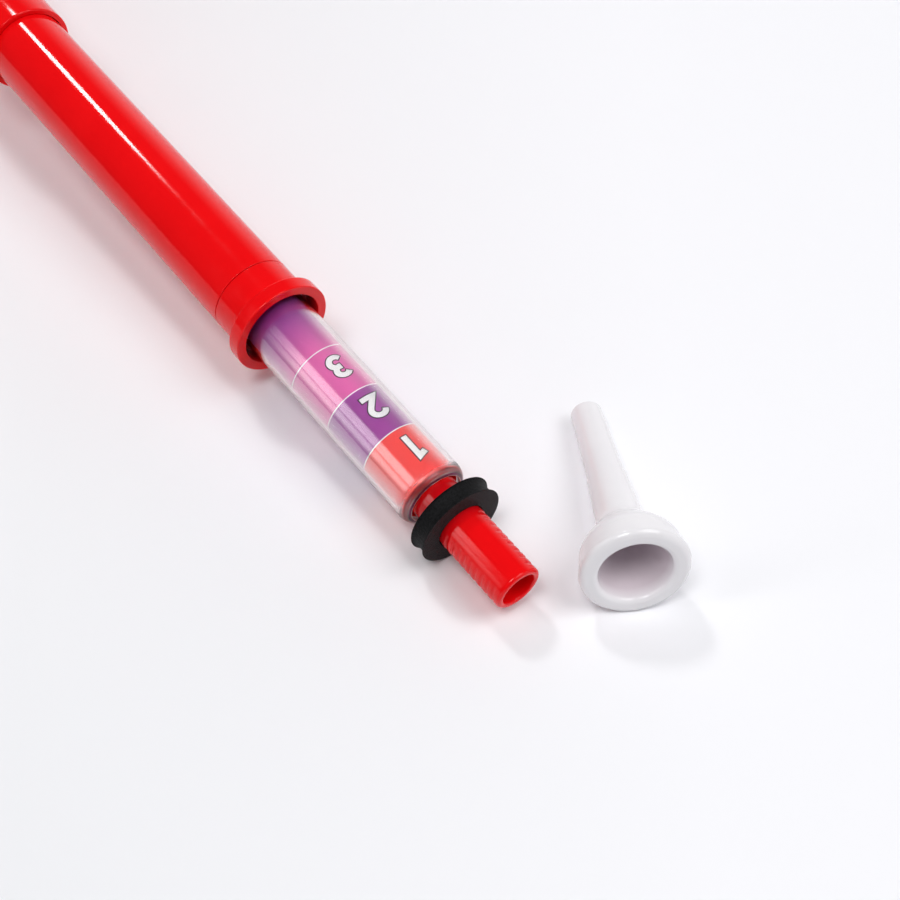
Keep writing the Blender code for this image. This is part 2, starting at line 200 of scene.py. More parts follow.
# Mouthpiece receiver
RECEIVER_TIP = 138.2 * MM
RECEIVER_RADIUS = 9.1 * MM
RECEIVER_REAR = 66.0 * MM
NECK_RADIUS = 9.0 * MM
NECK_END = 107.0 * MM
CENTRING_RADIUS = 10.9 * MM
CENTRING_BACK = 72.0 * MM
TUBE_SOCKET_RADIUS = 8.3 * MM
TUBE_STOP = 80.0 * MM
AIR_BORE = 6.0 * MM
SOCKET_MOUTH = 6.65 * MM
TIP_ROUND = 1.3 * MM
TIP_STEPS = 9
TIP_INNER_ROUND = 0.8 * MM
TIP_INNER_STEPS = 8
GRIP_GROOVES = 9
GRIP_PITCH = 3.1 * MM
GRIP_FIRST = 109.8 * MM
GRIP_GROOVE_WIDTH = 1.7 * MM
GRIP_DEPTH = 0.5 * MM
GRIP_FLOOR_POWER = 1.5
GRIP_HEIGHT = 9.6 * MM
GRIP_TURN = math.radians(15)
GRIP_ROWS = 11
GRIP_DULL_RADII = (8.2 * MM, 8.5 * MM, 9.0 * MM, 9.09 * MM)
GRIP_DULL_STATIONS = (107.0 * MM, 108.0 * MM, 136.0 * MM, 136.8 * MM)
GRIP_DULL = 0.3
# Painted shade on the neck, from the clear tube's lip to just past the foam ring: its stations and share
NECK_SHADE_STATIONS = (92.5 * MM, 94.0 * MM, 107.5 * MM, 111.0 * MM)
NECK_SHADE = 0.5

# Foam ring, with its waves and dimples counted to a metre
RING_BACK = 100.3 * MM
RING_FRONT = 106.9 * MM
RING_RADIUS = 16.6 * MM
RING_HOLE = 9.4 * MM
RING_LIP = 0.2 * MM
RING_WAIST = 1.15 * MM
RING_LIP_STEPS = 5
RING_WAIST_STEPS = 14
RING_FACE_STEPS = 8
RING_EVEN_MARGIN = 0.5 * MM
RING_WAVES = 260
RING_WAVE_DEPTH = 0.10 * MM
RING_DIMPLES = 520
RING_DIMPLE_DEPTH = 0.05 * MM

# Mouthpiece; its cup has painted shade in a cone of radius CUP_EDGE at the rim, narrowing by CUP_SLOPE
RIM_RADIUS = 19.2 * MM
RIM_ROUND = 2.6 * MM
RIM_STEPS = 12
RIM_INNER_ROUND = 2.2 * MM
RIM_INNER_STEPS = 10
CUP_RADIUS = 12.7 * MM
CUP_DEPTH = 30.0 * MM
CUP_BOW = 0.85
CUP_STEPS = 24
THROAT_RADIUS = 3.2 * MM
THROAT_LENGTH = 8.0 * MM
CUP_SIDE = 8.5 * MM
CUP_SIDE_RADIUS = 17.8 * MM
SHANK_FRONT = 26.0 * MM
SHANK_FRONT_RADIUS = 8.3 * MM
SHANK_STEP = 47.0 * MM
SHANK_STEP_RADIUS = 7.1 * MM
SHANK_STEP_HEIGHT = 0.35 * MM
MOUTHPIECE_LENGTH = 83.5 * MM
SHANK_TIP_RADIUS = 5.8 * MM
BACKBORE_RADIUS = 4.7 * MM
SMALL_EDGE = 0.4 * MM
SMALL_EDGE_STEPS = 5
CUP_EDGE = 14.0 * MM
CUP_SLOPE = 0.28
CUP_SHADE_DEPTHS = (-0.3 * MM, -5.0 * MM)
MOUTHPIECE_SPOT = Vector((0.2467, 0.0192, 0.019366))
MOUTHPIECE_FORWARD = Vector((0.85168, -0.49768, 0.16420))

# Colours, red, green and blue in linear light; thin ink has a share of its colour
RED = (0.87, 0.004, 0.006)
RED_DEEP = (0.83, 0.003, 0.005)
RED_SHADE = (0.26, 0.001, 0.006)
CORAL = (1.0, 0.093, 0.088)
PURPLE = (0.43, 0.085, 0.40)
PINK = (0.84, 0.175, 0.485)
MAUVE = (0.415, 0.080, 0.355)
SHADED_VIOLET = (0.27, 0.044, 0.265)
COLLAR_SHADOW_VIOLET = (0.18, 0.022, 0.19)
BLUE_VIOLET = (0.12, 0.040, 0.28)
INK_WHITE = (0.99, 0.99, 0.99)
INK_GREY = (0.06, 0.05, 0.06)
WHITE = (0.86, 0.845, 0.865)
WHITE_DEEP = (0.83, 0.81, 0.835)
CUP_PAINTED_SHADE = (0.68, 0.60, 0.645)
FLOOR_LEFT = (0.830, 0.836, 0.857)
FLOOR_RIGHT = (0.920, 0.920, 0.948)
ROOM = (0.07, 0.07, 0.075)
WALL = (0.96, 0.96, 0.97)
WALL_TOP = (0.93, 0.93, 0.94)
EDGE_TINT = (0.91, 0.79, 0.79)
LIP_PAINTED_SHADE = (0.05, 0.004, 0.02)
SHOULDER_PAINTED_REFRACTION = (1.0, 0.45, 0.42)
FOAM_DEEP = (0.0012, 0.0012, 0.0015)
FOAM_CUT = (0.0085, 0.0085, 0.0095)
FOAM_FACE_SHEEN = (0.030, 0.027, 0.029)
GREY = (0.26, 0.26, 0.27)
GREY_DEEP = (0.22, 0.22, 0.23)
RUBBER = (0.020, 0.020, 0.022)
RUBBER_DEEP = (0.014, 0.014, 0.016)
CLEAR = (1.0, 1.0, 1.0)
CLEAR_DEEP = (0.99, 0.99, 0.99)
GRAIN = (1.0, 1.0, 1.0)
GRAIN_DEEP = (0.93, 0.93, 0.93)
INK_THIN = 0.93

# Refractive indices, and specular levels, of which one half is the full gloss of the index
PLASTIC_INDEX = 1.5
CLEAR_INDEX = 1.49
FILM_INDEX = 1.45
PLASTIC_SPECULAR = 0.25
WHITE_SPECULAR = 0.5
FOAM_SPECULAR = 0.12
FLOOR_SPECULAR = 0.12

# Roughness, its least and its most, or one value for the floor
RED_ROUGHNESS = (0.06, 0.105)
WHITE_ROUGHNESS = (0.08, 0.14)
CLEAR_ROUGHNESS = (0.03, 0.06)
FILM_ROUGHNESS = (0.3, 0.45)
INK_ROUGHNESS = (0.35, 0.5)
FOAM_ROUGHNESS = (0.5, 0.7)
GREY_ROUGHNESS = (0.3, 0.52)
RUBBER_ROUGHNESS = (0.4125, 0.715)
FLOOR_ROUGHNESS = 0.35

# Noise, in features to a metre and levels of detail, and the span of its values that a change takes
FLOW_NOISE = (55, 3)
GLOSS_NOISE = (240, 4)
RIPPLE_NOISE = (420, 1)
CLEAR_NOISE = (30, 2)
DRAWN_NOISE = (160, 3)
DIE_LINE_NOISE = (900, 2)
DIE_LINE_STRETCH = 60
GRAIN_NOISE = (2600, 2)
FILM_NOISE = (500, 2)
INK_NOISE = (1500, 2)
BLOOM_NOISE = (1100, 4)
FOAM_CELLS = 1500
NOISE_SPAN = (0.3, 0.7)
BLOOM_SPAN = (0.35, 0.65)

# Depths of the bumps
RIPPLE_DEPTH = 0.004 * MM
DULL_RIPPLE_DEPTH = 0.01 * MM
DIE_LINE_DEPTH = 0.002 * MM
FOAM_CELL_DEPTH = 0.22 * MM


def direction(azimuth, elevation):
    """Unit vector towards an azimuth and elevation in degrees."""
    turn = math.radians(azimuth)
    rise = math.radians(elevation)
    return Vector((math.cos(rise) * math.cos(turn), math.cos(rise) * math.sin(turn), math.sin(rise)))


def axis_matrix(spot, forward):
    """A place whose Z is a piece's own axis, whose X is as near straight up as it can be."""
    forward = forward.normalized()
    up = (Vector((0.0, 0.0, 1.0)) - forward * forward.z).normalized()
    side = forward.cross(up)
    rows = Matrix((up, side, forward)).transposed().to_4x4()
    return Matrix.Translation(spot) @ rows


def slide_axis():
    """Where the horn's axis lies, from the hinge that the slide turns on."""
    joints = frame["record"]["behaviour"]["joints"]
    joint = next(item for item in joints if item["name"] == "slide_turn")
    return axis_matrix(Vector(joint["pos_m"]), Vector(joint["axis"]))


HORN = slide_axis()
MOUTHPIECE = axis_matrix(MOUTHPIECE_SPOT, MOUTHPIECE_FORWARD)
CAMERA_RIGHT = direction(CAMERA_YAW - 90, 0)


# Outlines and meshes

def filleted(corners, steps=FILLET_STEPS):
    """A closed outline from (radius, station, fillet) corners, each rounded by its own fillet."""
    outline = []
    count = len(corners)
    for index, (radius, station, fillet) in enumerate(corners):
        corner = Vector((radius, station))
        if fillet == 0:
            outline.append(tuple(corner))
            continue
        before = (Vector(corners[index - 1][:2]) - corner).normalized()
        after = (Vector(corners[(index + 1) % count][:2]) - corner).normalized()
        half = before.angle(after) / 2
        centre = corner + (before + after).normalized() * (fillet / math.sin(half))
        start = corner + before * (fillet / math.tan(half)) - centre
        end = corner + after * (fillet / math.tan(half)) - centre
        first = math.atan2(start.y, start.x)
        sweep = (math.atan2(end.y, end.x) - first + math.pi) % math.tau - math.pi
        for step in range(steps + 1):
            angle = first + sweep * step / steps
            outline.append((centre.x + fillet * math.cos(angle), centre.y + fillet * math.sin(angle)))
    return outline


def arc(centre, radius, start, end, count):
    """Points on a round edge, from one angle in degrees to another, both ends included."""
    points = []
    for step in range(count):
        angle = math.radians(start + (end - start) * step / (count - 1))
        points.append((centre[0] + radius * math.cos(angle), centre[1] + radius * math.sin(angle)))
    return points


def add_turned(mesh, outline, shape=None):
    """Adds a closed outline of (radius, station) points turned about Z; shape may move each point."""
    rings = []
    for step in range(TURN_STEPS):
        angle = math.tau * step / TURN_STEPS
        ring = []
        for radius, station in outline:
            if shape:
                radius, station = shape(radius, station, angle)
            ring.append(mesh.verts.new((radius * math.cos(angle), radius * math.sin(angle), station)))
        rings.append(ring)
    count = len(outline)
    for ring, following in zip(rings, rings[1:] + rings[:1]):
        for index in range(count):
            after = (index + 1) % count
            mesh.faces.new((ring[index], ring[after], following[after], following[index]))


def add_object(name, data):
    """A new object in the scene."""
    item = bpy.data.objects.new(name, data)
    bpy.context.scene.collection.objects.link(item)
    return item


def finished(name, mesh, place, body, material, nodes=()):
    """Makes a smooth piece of a mesh, in place, which rides its body and stands for its CAD nodes."""
    bmesh.ops.transform(mesh, matrix=place, verts=mesh.verts)
    bmesh.ops.recalc_face_normals(mesh, faces=mesh.faces)
    if mesh.calc_volume(signed=True) < 0:
        bmesh.ops.reverse_faces(mesh, faces=mesh.faces)
    data = bpy.data.meshes.new(name)
    mesh.to_mesh(data)
    mesh.free()
    data.shade_smooth()
    data.set_sharp_from_angle(angle=SHARP_ANGLE)
    data.materials.append(material)
    piece = add_object(name, data)
    weighted = piece.modifiers.new("normals", "WEIGHTED_NORMAL")
    weighted.keep_sharp = True
    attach(piece, body)
    if nodes:
        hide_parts(*nodes)
    return piece


def turned_piece(name, outline, place, body, material, nodes, shape=None):
    """A piece turned from one outline."""
    mesh = bmesh.new()
    add_turned(mesh, outline, shape)
    return finished(name, mesh, place, body, material, nodes)


# Shader helpers

def shader_node(tree, kind, inputs=(), **settings):
    """Adds a node; each input is a value or another node's output."""
    item = tree.nodes.new(kind)
    for key, value in settings.items():
        setattr(item, key, value)
    for key, value in dict(inputs).items():
        if isinstance(value, bpy.types.NodeSocket):
            tree.links.new(value, item.inputs[key])
        else:
            item.inputs[key].default_value = value
    return item


def new_material(name, axis=None, **sockets):
    """A Principled material with plain values on its sockets; its place may follow a given axis."""
    material = bpy.data.materials.new(name)
    material.use_nodes = True
    tree = material.node_tree
    shader = tree.nodes["Principled BSDF"]
    for key, value in sockets.items():
        shader.inputs[key.replace("_", " ")].default_value = value
    place = shader_node(tree, "ShaderNodeTexCoord").outputs["Object"]
    if axis:
        inputs = {"Vector": place, "Location": axis.to_translation(), "Rotation": axis.to_euler()}
        place = shader_node(tree, "ShaderNodeMapping", inputs, vector_type="TEXTURE").outputs["Vector"]
    return material, tree, shader, place


def noise_value(tree, place, scale, detail, stretch=None):
    """Noise from 0 to 1 with features of 1 / scale metres, drawn out along Z where stretch is given."""
    if stretch:
        inputs = {0: place, 1: (1.0, 1.0, 1.0 / stretch)}
        drawn = shader_node(tree, "ShaderNodeVectorMath", inputs, operation="MULTIPLY")
        place = drawn.outputs["Vector"]
    inputs = {"Vector": place, "Scale": scale, "Detail": detail}
    return shader_node(tree, "ShaderNodeTexNoise", inputs).outputs["Fac"]


def ramp(tree, factor, stops):
    """Colour ramp through (position, colour) stops."""
    item = shader_node(tree, "ShaderNodeValToRGB", {"Fac": factor})
    elements = item.color_ramp.elements
    while len(elements) < len(stops):
        elements.new(1.0)
    for element, (position, colour) in zip(elements, stops):
        element.position = position
        element.color = (*colour, 1.0)
    return item.outputs["Color"]


def mottled(tree, factor, low, high, span=NOISE_SPAN):
    """A colour that changes with noise from one to another."""
    return ramp(tree, factor, tuple(zip(span, (low, high))))


def add_bump(tree, shader, height, depth):
    """Bump of a real depth in metres."""
    item = shader_node(tree, "ShaderNodeBump", {"Height": height, "Distance": depth, "Strength": 1.0})
    tree.links.new(item.outputs["Normal"], shader.inputs["Normal"])


def map_range(tree, value, start, end, low=0.0, high=1.0):
    """Maps a value from one range to another, held at both ends."""
    inputs = {"Value": value, "From Min": start, "From Max": end, "To Min": low, "To Max": high}
    return shader_node(tree, "ShaderNodeMapRange", inputs).outputs["Result"]


def between(tree, factor, low, high):
    """Maps noise about its middle to a range."""
    return map_range(tree, factor, *NOISE_SPAN, low, high)


def calculated(tree, operation, *values):
    """The result of a maths operation on plain values or other nodes' outputs."""
    inputs = dict(enumerate(values))
    return shader_node(tree, "ShaderNodeMath", inputs, operation=operation).outputs["Value"]


def product(tree, first, second):
    """Two values multiplied."""
    return calculated(tree, "MULTIPLY", first, second)


def reach_along(tree, place, axis):
    """How far a place lies along a direction."""
    inputs = {0: place, 1: axis}
    return shader_node(tree, "ShaderNodeVectorMath", inputs, operation="DOT_PRODUCT").outputs["Value"]


def soft_window(tree, value, limits):
    """One between the two middle limits, fading to nothing at the outer two."""
    start, start_full, end_full, end = limits
    rising = map_range(tree, value, start, start_full)
    return product(tree, rising, map_range(tree, value, end_full, end, 1.0, 0.0))


def axis_station(tree, place):
    """Station along an axis."""
    return shader_node(tree, "ShaderNodeSeparateXYZ", {"Vector": place}).outputs["Z"]


def axis_radius(tree, place):
    """Station along an axis, and distance from it."""
    parts = shader_node(tree, "ShaderNodeSeparateXYZ", {"Vector": place}).outputs
    inputs = {"X": parts["X"], "Y": parts["Y"]}
    flat = shader_node(tree, "ShaderNodeCombineXYZ", inputs).outputs["Vector"]
    radius = shader_node(tree, "ShaderNodeVectorMath", {0: flat}, operation="LENGTH").outputs["Value"]
    return parts["Z"], radius


def mixed(tree, factor, first, second, blend="MIX"):
    """A colour between two others, or another blend of them; each is a plain colour or an output."""
    inputs = {"Fac": factor}
    for key, colour in (("Color1", first), ("Color2", second)):
        inputs[key] = (*colour, 1.0) if isinstance(colour, tuple) else colour
    return shader_node(tree, "ShaderNodeMixRGB", inputs, blend_type=blend).outputs["Color"]


# Materials

def flow_marks(tree, place, deep, colour):
    """Faint flow marks in the colour of a moulding."""
    return mottled(tree, noise_value(tree, place, *FLOW_NOISE), deep, colour)


def uneven_gloss(tree, place, roughness):
    """The roughness of a moulding, which varies a little."""
    return between(tree, noise_value(tree, place, *GLOSS_NOISE), *roughness)


def add_ripple(tree, shader, place, depth):
    """The slight ripple of a moulded face."""
    add_bump(tree, shader, noise_value(tree, place, *RIPPLE_NOISE), depth)


def dull_plastic(name, colour, deep, roughness):
    """Plain moulding for the pieces out of sight."""
    material, tree, shader, place = new_material(
        name, IOR=PLASTIC_INDEX, Specular_IOR_Level=PLASTIC_SPECULAR
    )
    tree.links.new(flow_marks(tree, place, deep, colour), shader.inputs["Base Color"])
    tree.links.new(uneven_gloss(tree, place, roughness), shader.inputs["Roughness"])
    add_ripple(tree, shader, place, DULL_RIPPLE_DEPTH)
    return material


def red_plastic():
    """Glossy red plastic, with painted shade in the collar's mouth and on the neck, duller on the grip.
    """
    material, tree, shader, place = new_material(
        "red_gloss", HORN, IOR=PLASTIC_INDEX, Specular_IOR_Level=PLASTIC_SPECULAR
    )
    station, radius = axis_radius(tree, place)
    flow = flow_marks(tree, place, RED_DEEP, RED)
    # Painted shade: the recess inside the collar's mouth darkens towards the shade colour
    inside = map_range(tree, radius, *MOUTH_SHADE_RADII, 1.0, 0.0)
    mouth = product(tree, soft_window(tree, station, MOUTH_SHADE_STATIONS), inside)
    # Painted shade on the neck beside the foam ring
    neck = product(tree, soft_window(tree, station, NECK_SHADE_STATIONS), NECK_SHADE)
    shade = calculated(tree, "ADD", mouth, neck)
    tree.links.new(mixed(tree, shade, flow, RED_SHADE), shader.inputs["Base Color"])
    flank = soft_window(tree, radius, GRIP_DULL_RADII)
    grip = product(tree, flank, soft_window(tree, station, GRIP_DULL_STATIONS))
    gloss = uneven_gloss(tree, place, RED_ROUGHNESS)
    rough = calculated(tree, "MULTIPLY_ADD", grip, GRIP_DULL, gloss)
    tree.links.new(rough, shader.inputs["Roughness"])
    add_ripple(tree, shader, place, RIPPLE_DEPTH)
    return material


def white_plastic():
    """Glossy white plastic, with painted shade, tinted mauve, deepening down inside the cup."""
    material, tree, shader, place = new_material(
        "white_gloss", MOUTHPIECE, IOR=PLASTIC_INDEX, Specular_IOR_Level=WHITE_SPECULAR
    )
    station, radius = axis_radius(tree, place)
    flow = flow_marks(tree, place, WHITE_DEEP, WHITE)
    # Painted shade, with a painted mauve bounce from the red, deepening down inside the cup's cone
    edge = calculated(tree, "MULTIPLY_ADD", station, CUP_SLOPE, CUP_EDGE)
    inside = calculated(tree, "LESS_THAN", radius, edge)
    depth = product(tree, inside, map_range(tree, station, *CUP_SHADE_DEPTHS))
    tree.links.new(mixed(tree, depth, flow, CUP_PAINTED_SHADE), shader.inputs["Base Color"])
    tree.links.new(uneven_gloss(tree, place, WHITE_ROUGHNESS), shader.inputs["Roughness"])
    add_ripple(tree, shader, place, RIPPLE_DEPTH)
    return material


def clear_plastic():
    """Clear drawn plastic: faint die lines, a sheen seen aslant, painted light and shade at the front.
    """
    material, tree, shader, place = new_material(
        "drawn_clear", HORN,
        IOR=CLEAR_INDEX, Transmission_Weight=1.0, Specular_IOR_Level=PLASTIC_SPECULAR,
    )
    station, radius = axis_radius(tree, place)
    aslant = shader_node(tree, "ShaderNodeLayerWeight", {"Blend": FACING_BLEND}).outputs["Facing"]

    # Sheen and veil, between the collar and the lip
    rear = map_range(tree, station, *SHEEN_REAR)
    along = product(tree, rear, map_range(tree, station, *SHEEN_FRONT, 1.0, 0.0))
    sheen = product(tree, soft_window(tree, aslant, SHEEN_SLANTS), along)
    tree.links.new(product(tree, sheen, SHEEN_MOST), shader.inputs["Metallic"])
    veil = product(tree, product(tree, soft_window(tree, aslant, VEIL_SLANTS), along), VEIL_MOST)

    # Colour, tinted at its outline; painted refraction on its shoulder and painted shade in its lip
    clear = mottled(tree, noise_value(tree, place, *CLEAR_NOISE), CLEAR_DEEP, CLEAR)
    clear = mixed(tree, map_range(tree, aslant, *EDGE_SLANTS), clear, EDGE_TINT)
    at_lip = map_range(tree, station, *LIP_PAINT_STATIONS)
    # Painted shade: a dark ring in the lip, where the dark inside is seen through it
    ring = product(tree, soft_window(tree, radius, LIP_SHADE_RADII), at_lip)
    # Painted refraction: the coral film seen through the shoulder, painted onto the shoulder
    shoulder = product(tree, soft_window(tree, radius, SHOULDER_REFRACTION_RADII), at_lip)
    tinted = mixed(tree, shoulder, clear, SHOULDER_PAINTED_REFRACTION)
    tree.links.new(mixed(tree, ring, tinted, LIP_PAINTED_SHADE), shader.inputs["Base Color"])

    # Clearness, less in the veil, and on the lip's inner edge, where a milky line is a painted highlight
    at_edge = map_range(tree, station, *LIP_HIGHLIGHT_STATIONS)
    line = product(tree, map_range(tree, radius, *LIP_HIGHLIGHT_RADII, 1.0, 0.0), at_edge)
    clearness = calculated(tree, "SUBTRACT", map_range(tree, line, 0.0, 1.0, 1.0, LIP_HIGHLIGHT_CLEAR), veil)
    tree.links.new(clearness, shader.inputs["Transmission Weight"])

    # Gloss, hazy towards the lip, and die lines
    drawn = between(tree, noise_value(tree, place, *DRAWN_NOISE), *CLEAR_ROUGHNESS)
    haze = map_range(tree, station, *LIP_HAZE_STATIONS, 0.0, LIP_HAZE)
    tree.links.new(calculated(tree, "ADD", drawn, haze), shader.inputs["Roughness"])
    die_lines = noise_value(tree, place, *DIE_LINE_NOISE, DIE_LINE_STRETCH)
    add_bump(tree, shader, die_lines, DIE_LINE_DEPTH)
    return material


def film_share(station):
    """How far along the film a station lies, from its rear end to its front."""
    return (station - FILM_REAR) / (FILM_FRONT - FILM_REAR)


def film_colours():
    """Stops for the film's colours from its rear end to its front, with hard edges at the lines."""
    first, second, third = (film_share(station) for station in LINE_STATIONS)
    return (
        (0.0, BLUE_VIOLET),
        (film_share(BLUE_STATION), BLUE_VIOLET),
        # Painted shadow of the collar, darkening the violet print next to it
        (film_share(COLLAR_SHADOW_STATION), COLLAR_SHADOW_VIOLET),
        (film_share(SHADED_VIOLET_STATION), SHADED_VIOLET),
        (film_share(MAUVE_STATION), MAUVE),
        (third - LINE_STEP, PINK),
        (second - LINE_STEP, PINK),
        (second, PURPLE),
        (first - LINE_STEP, PURPLE),
        (first, CORAL),
        (1.0, CORAL),
    )


def printed_film():
    """Film printed in bands of colour by station, with a faint grain in the ink."""
    material, tree, shader, place = new_material("film_print", HORN, IOR=FILM_INDEX)
    station = axis_station(tree, place)
    bands = ramp(tree, map_range(tree, station, FILM_REAR, FILM_FRONT), film_colours())
    grain = mottled(tree, noise_value(tree, place, *GRAIN_NOISE), GRAIN_DEEP, GRAIN)
    tree.links.new(mixed(tree, 1.0, bands, grain, "MULTIPLY"), shader.inputs["Base Color"])
    gloss = between(tree, noise_value(tree, place, *FILM_NOISE), *FILM_ROUGHNESS)
    tree.links.new(gloss, shader.inputs["Roughness"])
    return material


def ink(name, colour):
    """Screen ink, a little uneven."""
    material, tree, shader, place = new_material(name)
    patch = noise_value(tree, place, *INK_NOISE)
    thin = tuple(value * INK_THIN for value in colour)
    tree.links.new(mottled(tree, patch, thin, colour), shader.inputs["Base Color"])
    tree.links.new(between(tree, patch, *INK_ROUGHNESS), shader.inputs["Roughness"])
    return material


def black_foam():
    """Closed-cell foam: small cells, dull with a grey bloom, greyer on its front face by painted sheen.
    """
    material, tree, shader, place = new_material("cell_foam", HORN, Specular_IOR_Level=FOAM_SPECULAR)
    station = axis_station(tree, place)
    cells = shader_node(tree, "ShaderNodeTexVoronoi", {"Vector": place, "Scale": FOAM_CELLS})
    bloom = noise_value(tree, place, *BLOOM_NOISE)
    cut = mottled(tree, bloom, FOAM_DEEP, FOAM_CUT, BLOOM_SPAN)
    # Painted sheen: the front face is lighter than the cut edge
    face_sheen = mottled(tree, bloom, FOAM_CUT, FOAM_FACE_SHEEN, BLOOM_SPAN)
    at_front = map_range(tree, station, RING_FRONT - RING_LIP, RING_FRONT)
    tree.links.new(mixed(tree, at_front, cut, face_sheen), shader.inputs["Base Color"])
    tree.links.new(between(tree, bloom, *FOAM_ROUGHNESS), shader.inputs["Roughness"])
    add_bump(tree, shader, cells.outputs["Distance"], FOAM_CELL_DEPTH)
    return material


def studio_floor():
    """Plain pale table top with a slight gloss, and painted light rising towards the picture's right."""
    material, tree, shader, place = new_material(
        "studio_floor", Specular_IOR_Level=FLOOR_SPECULAR, Roughness=FLOOR_ROUGHNESS
    )
    # Painted light: the floor grows lighter towards the picture's right
    painted_light = map_range(tree, reach_along(tree, place, CAMERA_RIGHT), *FLOOR_PAINTED_LIGHT_SPAN)
    colour = ramp(tree, painted_light, ((0.0, FLOOR_LEFT), (1.0, FLOOR_RIGHT)))
    tree.links.new(colour, shader.inputs["Base Color"])
    return material


# Horn body

def make_bell(material):
    """Flared bell with a rolled rim, and the socket that the tube sits in."""
    seat = TUBE_REAR - LAP_GAP
    rim = seat - BELL_LENGTH
    ratio = BELL_MOUTH_RADIUS / TUBE_BORE
    reach = BELL_LENGTH / (ratio ** (1 / BELL_FLARE_POWER) - 1)
    bead_radius = BELL_OUTER_RADIUS - BELL_BEAD
    bore = []
    flare = []
    for step in range(BELL_STATIONS):
        distance = BELL_LENGTH * (1 - step / (BELL_STATIONS - 1)) ** BELL_STATION_POWER
        radius = BELL_MOUTH_RADIUS * (1 + distance / reach) ** -BELL_FLARE_POWER
        lean = math.atan(BELL_FLARE_POWER * radius / (reach + distance))
        bore.append((radius, rim + distance))
        outer = (radius + BELL_WALL * math.cos(lean), rim + distance + BELL_WALL * math.sin(lean))
        if outer[1] < seat - SOCKET_TAPER and outer[0] < bead_radius - BELL_BEAD:
            flare.append(outer)
    bead = arc((bead_radius, rim + BELL_BEAD), BELL_BEAD, BEAD_START_DEGREES, -90, BEAD_STEPS)
    socket_bore = TUBE_RADIUS + LAP_GAP
    socket_radius = socket_bore + SOCKET_WALL
    corner = (socket_radius - SOCKET_EDGE, seat + SOCKET_LENGTH - SOCKET_EDGE)
    socket = arc(corner, SOCKET_EDGE, 90, 0, FILLET_STEPS) + [(socket_radius, seat)]
    seat_edge = [(TUBE_BORE, seat), (socket_bore, seat), (socket_bore, seat + SOCKET_LENGTH)]
    outline = socket + flare + bead + bore[:0:-1] + seat_edge
    turned_piece("bell_flare", outline, HORN, "horn_body", material, ("bell",))


def make_outer_tube(material):
    """Straight tube, turned down at the front where the collar laps over it."""
    lap_front = BUSH_BACK - LAP_GAP
    shoulder = COLLAR_BACK - LAP_GAP
    outline = filleted((
        (LAP_RADIUS, lap_front, 0),
        (LAP_RADIUS, shoulder, 0),
        (TUBE_RADIUS, shoulder, JOINT_EDGE),
        (TUBE_RADIUS, TUBE_REAR, 0),
        (TUBE_BORE, TUBE_REAR, 0),
        (TUBE_BORE, lap_front, 0),
    ))
    turned_piece("body_tube", outline, HORN, "horn_body", material, ("outer_tube",))


def make_collar(material):
    """Flanged collar, flush with the tube behind a fine joint, with a wide mouth."""
    seat = LAP_RADIUS + LAP_GAP
    outline = filleted((
        (FLANGE_RADIUS, 0.0, FLANGE_EDGE),
        (FLANGE_RADIUS, FLANGE_BACK, FLANGE_BACK_EDGE),
        (TUBE_RADIUS, FLANGE_BACK, COLLAR_FILLET),
        (TUBE_RADIUS, COLLAR_BACK, JOINT_EDGE),
        (seat, COLLAR_BACK, 0),
        (seat, LIP_BACK, 0),
        (LIP_RADIUS, LIP_BACK, 0),
        (LIP_RADIUS, -MOUTH_DEPTH, 0),
        (MOUTH_FLOOR_RADIUS, -MOUTH_DEPTH, 0),
        (MOUTH_RADIUS, 0.0, MOUTH_EDGE),
    ))
    turned_piece(
        "flanged_collar", outline, HORN, "horn_body", material, ("slide_collar",)
    )


# Slide

def make_slide_tube(material):
    """Clear tube with an oval shoulder and an inward lip."""
    lip_back = SLIDE_FRONT - SLIDE_LIP_THICKNESS
    corner, *rest = filleted((
        (SLIDE_RADIUS, SLIDE_FRONT, 0),
        (SLIDE_RADIUS, SLIDE_REAR, SLIDE_REAR_EDGE),
        (SLIDE_BORE, SLIDE_REAR, SLIDE_REAR_EDGE),
        (SLIDE_BORE, lip_back, INNER_ROUND),
        (SLIDE_LIP_RADIUS, lip_back, SLIDE_LIP_EDGE),
        (SLIDE_LIP_RADIUS, SLIDE_FRONT, SLIDE_LIP_EDGE),
    ), SLIDE_FILLET_STEPS)
    shoulder = [
        (corner[0] + SHOULDER_WIDTH * (out - 1.0), corner[1] + SHOULDER_LENGTH * (up - 1.0))
        for out, up in arc((0.0, 0.0), 1.0, 90, 0, SHOULDER_STEPS)
    ]
    outline = shoulder + rest
    turned_piece("clear_tube", outline, HORN, "slide", material, ("slide_tube",))


def make_film(material):
    """Printed film rolled up inside the clear tube."""
    inner = FILM_RADIUS - FILM_WALL
    outline = [
        (FILM_RADIUS, FILM_FRONT),
        (FILM_RADIUS, FILM_REAR),
        (inner, FILM_REAR),
        (inner, FILM_FRONT),
    ]
    turned_piece("film_sleeve", outline, HORN, "slide", material, ("number_sleeve",))


def make_lines(material):
    """White lines between the bands."""
    mesh = bmesh.new()
    low = FILM_RADIUS + INK_LIFT
    high = low + INK_THICKNESS
    for station in LINE_STATIONS:
        front = station + LINE_WIDTH / 2
        back = station - LINE_WIDTH / 2
        add_turned(mesh, [(high, front), (high, back), (low, back), (low, front)])
    finished("band_lines", mesh, HORN, "slide", material)


def digit_strokes(digit):
    """Stroke paths of one number in millimetres, with x across and y up from its foot."""
    if digit == "1":
        return [[(0.6, 0.0), (0.6, 9.0), (-2.1, 7.9)]]
    if digit == "2":
        return [arc((0.0, 6.7), 2.3, 165, -38, 16) + [(-1.6, 1.0), (2.9, 1.0)]]
    upper = arc((-0.1, 7.0), 2.0, 150, -90, 16) + [(-0.7, 5.0)]
    lower = [(-0.7, 5.3)] + arc((0.0, 3.1), 2.2, 90, -150, 18)
    return [upper, lower]


